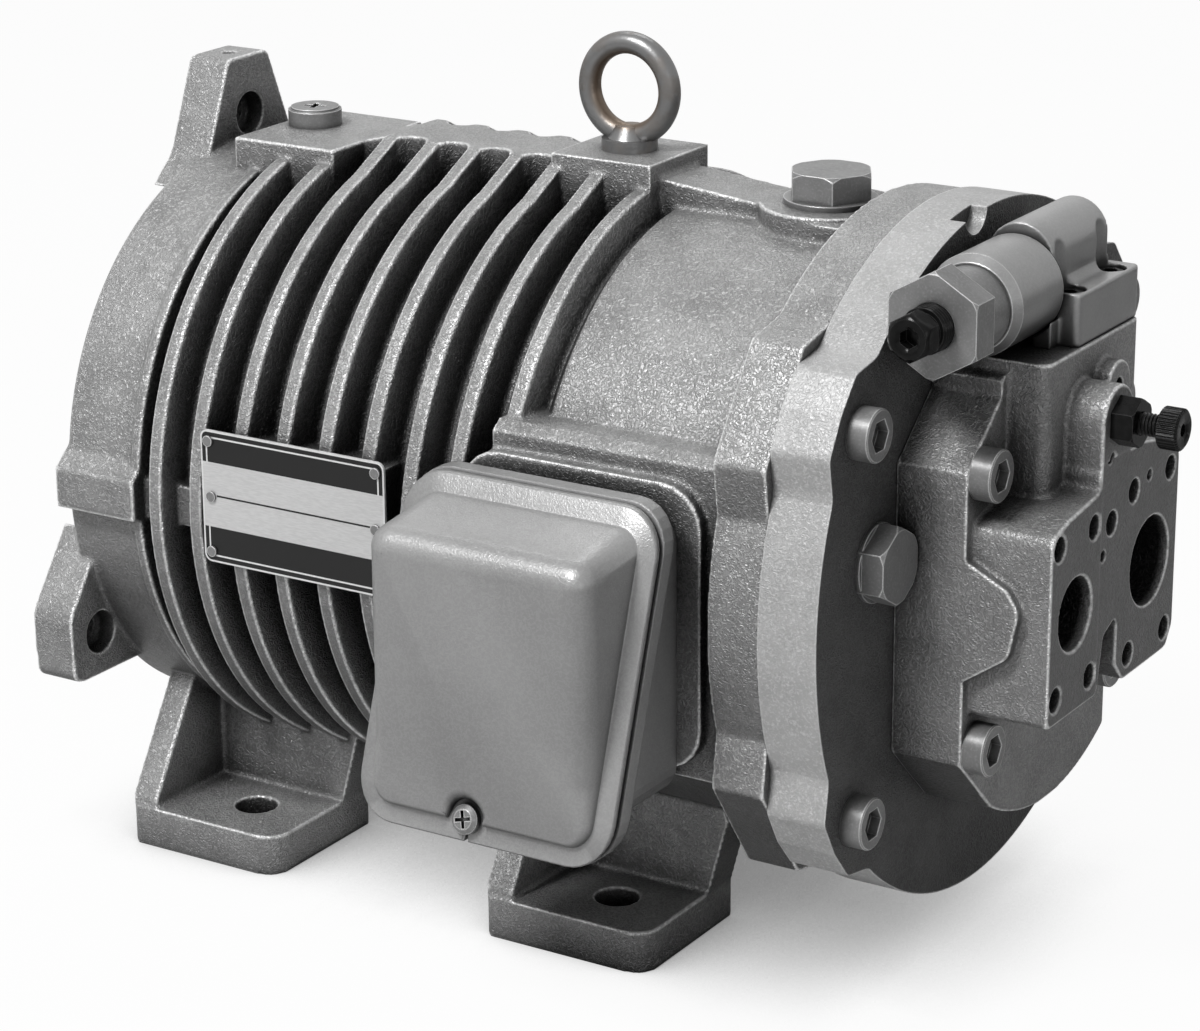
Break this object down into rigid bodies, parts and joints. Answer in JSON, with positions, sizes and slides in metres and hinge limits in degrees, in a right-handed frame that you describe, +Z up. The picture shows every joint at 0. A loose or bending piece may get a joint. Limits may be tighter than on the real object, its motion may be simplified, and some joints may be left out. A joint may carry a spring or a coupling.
{
  "type": "motor pump unit",
  "caption": "Finned electric motor on four feet with a variable vane pump, valve and split-flange ports flanged to one end.",
  "frame": {"origin": "centre of the four foot holes, on the plane the feet stand on", "axes": "+X along the shaft towards the pump and its ports, +Z up, -Y the side with the terminal box"},
  "size_m": [0.4145, 0.2951, 0.3094],
  "materials": {
    "cast": "silver grey painted casting, fine grain",
    "satin": "machined satin",
    "pressed": "satin light grey",
    "zinc": "zinc grey",
    "black_oxide": "black oxide",
    "rubber": "matt black",
    "steel": "ground steel",
    "copper": "varnished windings",
    "brass": "machined",
    "block": "moulded",
    "plate": "satin plate with black bands",
    "core": "laminated sheet",
    "bronze": "bearing bronze"
  },
  "bodies": {
    "housing": {"motor_frame": "cast", "rear_cover": "cast", "rear_cover_screws": "zinc", "bearing_cap": "cast", "bearing_cap_screws": "zinc", "adapter_flange": "satin", "flange_screws": "zinc", "terminal_box": "pressed", "terminal_gasket": "rubber", "terminal_cover": "pressed", "terminal_cover_screw": "zinc", "terminal_block": "block", "terminal_studs": "brass", "cable_gland_plug": "black_oxide", "nameplate": "plate", "nameplate_rivets": "zinc", "lifting_eye": "zinc", "filler_plug": "zinc", "filler_washer": "satin", "breather_plug": "zinc", "drain_plug": "zinc", "pump_housing": "cast", "pump_screws": "zinc", "compensator_body": "satin", "compensator_screws": "black_oxide", "seal_ring": "rubber", "spring_sleeve": "satin", "compensator_cap": "zinc", "pressure_spring": "steel", "end_plug": "black_oxide", "flow_lock_nut": "black_oxide", "stator_core": "core", "windings": "copper", "front_bearing_outer": "steel", "rear_bearing_outer": "steel", "shaft_seal": "rubber", "side_plate": "bronze", "guide_pads": "bronze", "port_plate": "bronze", "bias_spring": "steel", "bias_plug": "zinc"},
    "rotor": {"rotor_core": "core", "rotor_cage": "satin", "shaft": "steel", "front_bearing_inner": "steel", "rear_bearing_inner": "steel", "pump_rotor": "steel", "vanes": "steel"},
    "front_balls": {"front_bearing_balls": "steel"},
    "rear_balls": {"rear_bearing_balls": "steel"},
    "cam": {"cam_ring": "steel", "control_piston": "steel", "bias_piston": "steel"},
    "spool": {"compensator_spool": "steel"},
    "pressure_seat": {"spring_seat": "steel"},
    "pressure_screw": {"pressure_screw": "black_oxide"},
    "flow_stop": {"flow_stop": "steel"},
    "flow_screw": {"flow_screw": "black_oxide"}
  },
  "joints": [
    {"name": "rotor_spin", "type": "hinge", "parent": "housing", "child": "rotor", "pos_m": [0, 0, 0.1434], "axis": [1, 0, 0], "continuous": true},
    {"name": "front_balls_spin", "type": "hinge", "parent": "housing", "child": "front_balls", "pos_m": [0, 0, 0.1434], "axis": [1, 0, 0], "continuous": true},
    {"name": "rear_balls_spin", "type": "hinge", "parent": "housing", "child": "rear_balls", "pos_m": [0, 0, 0.1434], "axis": [1, 0, 0], "continuous": true},
    {"name": "cam_slide", "type": "slide", "parent": "housing", "child": "cam", "axis": [0, 1, 0], "range_m": [-0.003, 0], "deforming": ["bias_spring"]},
    {"name": "spool_slide", "type": "slide", "parent": "housing", "child": "spool", "axis": [0, 1, 0], "range_m": [-0.0015, 0.0015], "deforming": ["pressure_spring"]},
    {"name": "pressure_seat_travel", "type": "slide", "parent": "housing", "child": "pressure_seat", "axis": [0, 1, 0], "range_m": [-0.003, 0.006], "deforming": ["pressure_spring"]},
    {"name": "pressure_screw_turn", "type": "hinge", "parent": "pressure_seat", "child": "pressure_screw", "pos_m": [0.2027, -0.09, 0.2444], "axis": [0, 1, 0], "range_deg": [-720, 1440]},
    {"name": "flow_stop_travel", "type": "slide", "parent": "housing", "child": "flow_stop", "axis": [-1, 0, 0], "range_m": [-0.0025, 0.005]},
    {"name": "flow_screw_turn", "type": "hinge", "parent": "flow_stop", "child": "flow_screw", "pos_m": [0.25, -0.0165, 0.2024], "axis": [-1, 0, 0], "range_deg": [-720, 1440]}
  ],
  "couplings": [
    {"joint": "front_balls_spin", "follows": "rotor_spin", "ratio": 0.4133},
    {"joint": "rear_balls_spin", "follows": "rotor_spin", "ratio": 0.4096},
    {"joint": "pressure_screw_turn", "follows": "pressure_seat_travel", "rad_per_m": 4188.8},
    {"joint": "flow_screw_turn", "follows": "flow_stop_travel", "rad_per_m": 5026.5}
  ]
}
